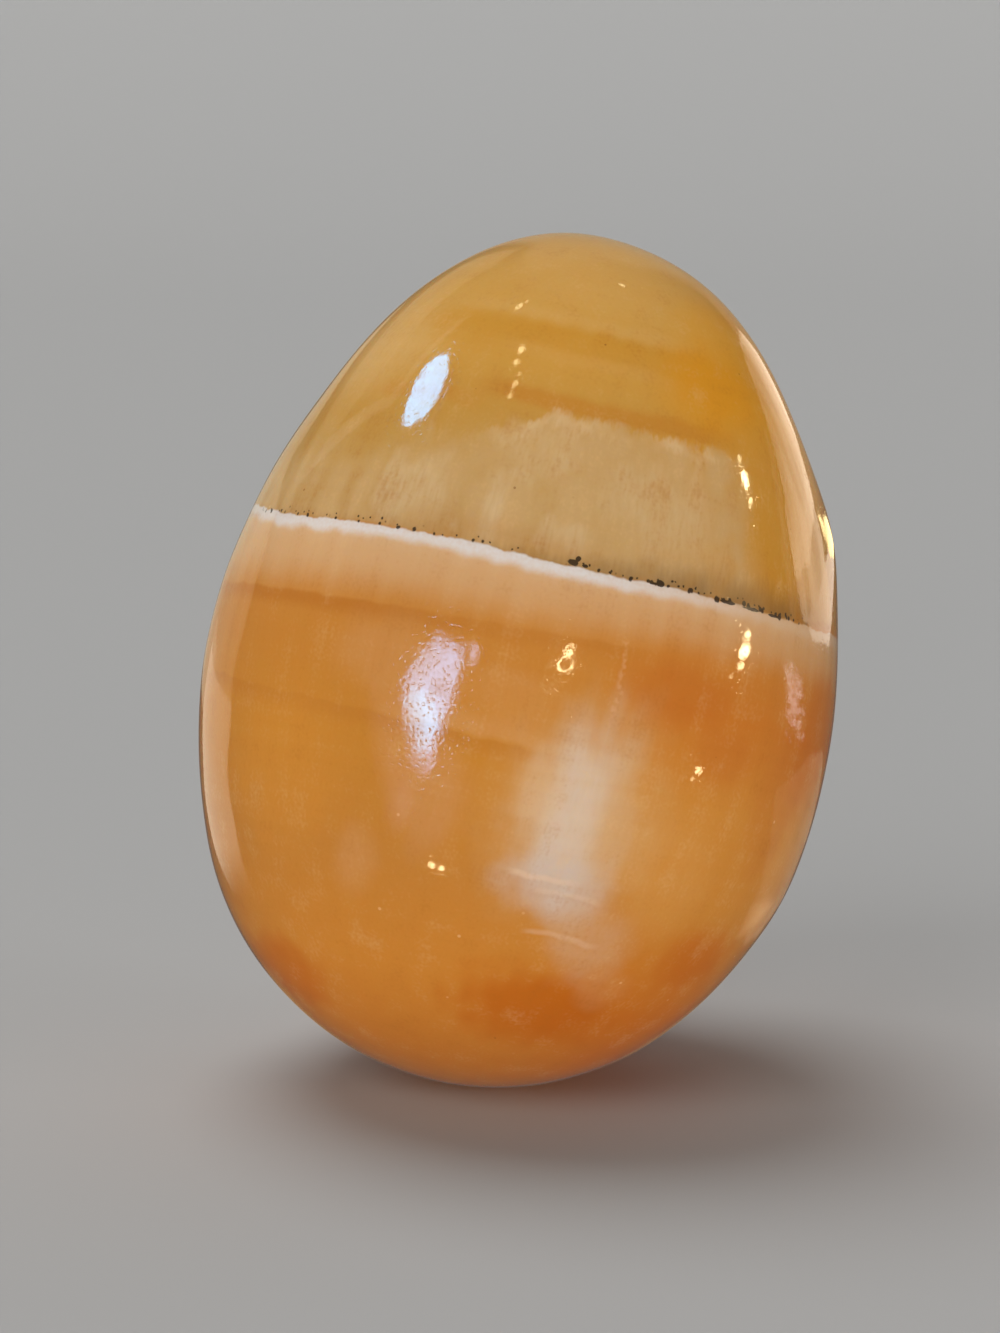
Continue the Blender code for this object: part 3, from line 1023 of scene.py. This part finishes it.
def make_right_panels():
    """Pale panels behind the egg, which show as a band along its right edge."""
    back = 0.25
    outline = ((0.150, 0.062), (0.172, 0.053), (0.318, 0.047), (0.562, 0.062), (0.566, 0.129),
               (0.505, 0.143), (0.440, 0.157), (0.388, 0.178), (0.325, 0.189), (0.270, 0.192),
               (0.200, 0.172), (0.130, 0.126), (0.104, 0.090), (0.110, 0.070), (0.126, 0.065))
    upright_sheet("right_panel", back, outline, 2.4, (1.0, 0.81, 0.61), 0.12, ((26.0, 1.0, 7.0), 0.7),
                  high=(0.18, 0.055))
    outline = ((0.178, 0.075), (0.186, 0.046), (0.196, 0.030), (0.150, 0.005), (0.494, 0.010),
               (0.566, 0.055), (0.562, 0.080))
    upright_sheet("right_low_panel", back + 0.004, outline, 1.6, WALL_LIGHT, 0.10, ((26.0, 1.0, 7.0), 0.6))
    outline = ((0.020, 0.035), (0.200, 0.030), (0.220, 0.160), (0.120, 0.180), (0.020, 0.110))
    upright_sheet("right_rim_panel", back + 0.008, outline, 0.36, (1.0, 0.80, 0.58), 0.3)
    outline = ((0.575, 0.050), (0.505, 0.008), (0.720, 0.010), (0.760, 0.120), (0.640, 0.195),
               (0.470, 0.215), (0.400, 0.200), (0.460, 0.168), (0.580, 0.145))
    upright_sheet("right_side_panel", back, outline, 0.45, WALL_LIGHT, 0.3, ((26.0, 1.0, 7.0), 0.3))
    outline = ((0.181, 0.051), (0.177, 0.041), (0.170, 0.032), (0.160, 0.026), (0.122, 0.021),
               (0.082, 0.021), (0.088, 0.030), (0.130, 0.042))
    upright_sheet("right_gleam", back - 0.002, outline, 3.9, (1.0, 0.78, 0.38), 0.45,
                  ((40.0, 1.0, 60.0), 0.45))


def make_floor_sheets():
    """Lit places on the floor, which show low in the egg's right edge and round its foot."""
    outline = ((0.186, 0.232), (0.241, 0.222), (0.315, 0.206), (0.640, 0.380), (0.600, 0.700),
               (0.300, 0.900), (0.180, 0.420))
    level_sheet("right_sheet", outline, 1.3, (1.0, 0.86, 0.74), 0.05)
    outline = ((0.112, 0.036), (0.110, 0.056), (0.250, 0.124), (0.420, 0.140), (0.430, 0.104),
               (0.230, 0.054), (0.140, 0.030))
    level_sheet("right_smear", outline, 2.6, (0.88, 0.78, 0.80), 0.8, ((44.0, 80.0, 1.0), 0.2))
    outline = ((0.100, 0.014), (0.072, 0.009), (0.052, 0.007), (0.034, 0.002), (0.030, 0.012),
               (0.034, 0.052), (0.055, 0.094), (0.090, 0.110), (0.110, 0.070))
    level_sheet("right_foot_sheet", outline, 0.34, WALL_LIGHT, 0.20, ((60.0, 60.0, 1.0), 0.7))
    outline = ((0.034, 0.002), (0.043, 0.005), (0.046, 0.016), (0.041, 0.030), (0.036, 0.018))
    level_sheet("right_foot_gleam", outline, 0.8, (1.0, 0.76, 0.50), 0.8, lift=2.0 * ABOVE_FLOOR)
    outline = ((0.006, -0.005), (0.014, -0.0025), (0.019, 0.003), (0.024, 0.014), (0.034, 0.050),
               (0.010, 0.060), (-0.014, 0.050), (-0.030, 0.020), (-0.026, 0.009), (-0.018, 0.001),
               (-0.010, -0.003))
    level_sheet("foot_sheet", outline, 0.34, (1.0, 0.62, 0.30), 0.25)


def make_lights():
    world = bpy.data.worlds.new("soft_room")
    bpy.context.scene.world = world
    world.use_nodes = True
    background = world.node_tree.nodes["Background"]
    background.inputs["Color"].default_value = (1.0, 1.0, 1.0, 1.0)
    background.inputs["Strength"].default_value = ROOM_STRENGTH
    for light in SOFT_LIGHTS:
        soft_light(*light)
    make_windows()
    make_lamps()
    make_left_room()
    make_right_panels()
    make_floor_sheets()


def make_camera():
    camera = add_object("camera", bpy.data.cameras.new("camera"))
    camera.data.sensor_width = SENSOR_MM
    camera.data.sensor_fit = "AUTO"
    camera.data.lens = LENS_MM
    camera.data.clip_start = NEAREST
    away = direction(0.0, CAMERA_ELEVATION)
    camera.location = AIM + away * CAMERA_DISTANCE
    camera.rotation_euler = away.to_track_quat("Z", "Y").to_euler()
    bpy.context.scene.camera = camera


make_camera()
make_floor()
make_backdrop()
dress_egg()
make_lights()
bpy.context.scene.view_settings.view_transform = "Standard"
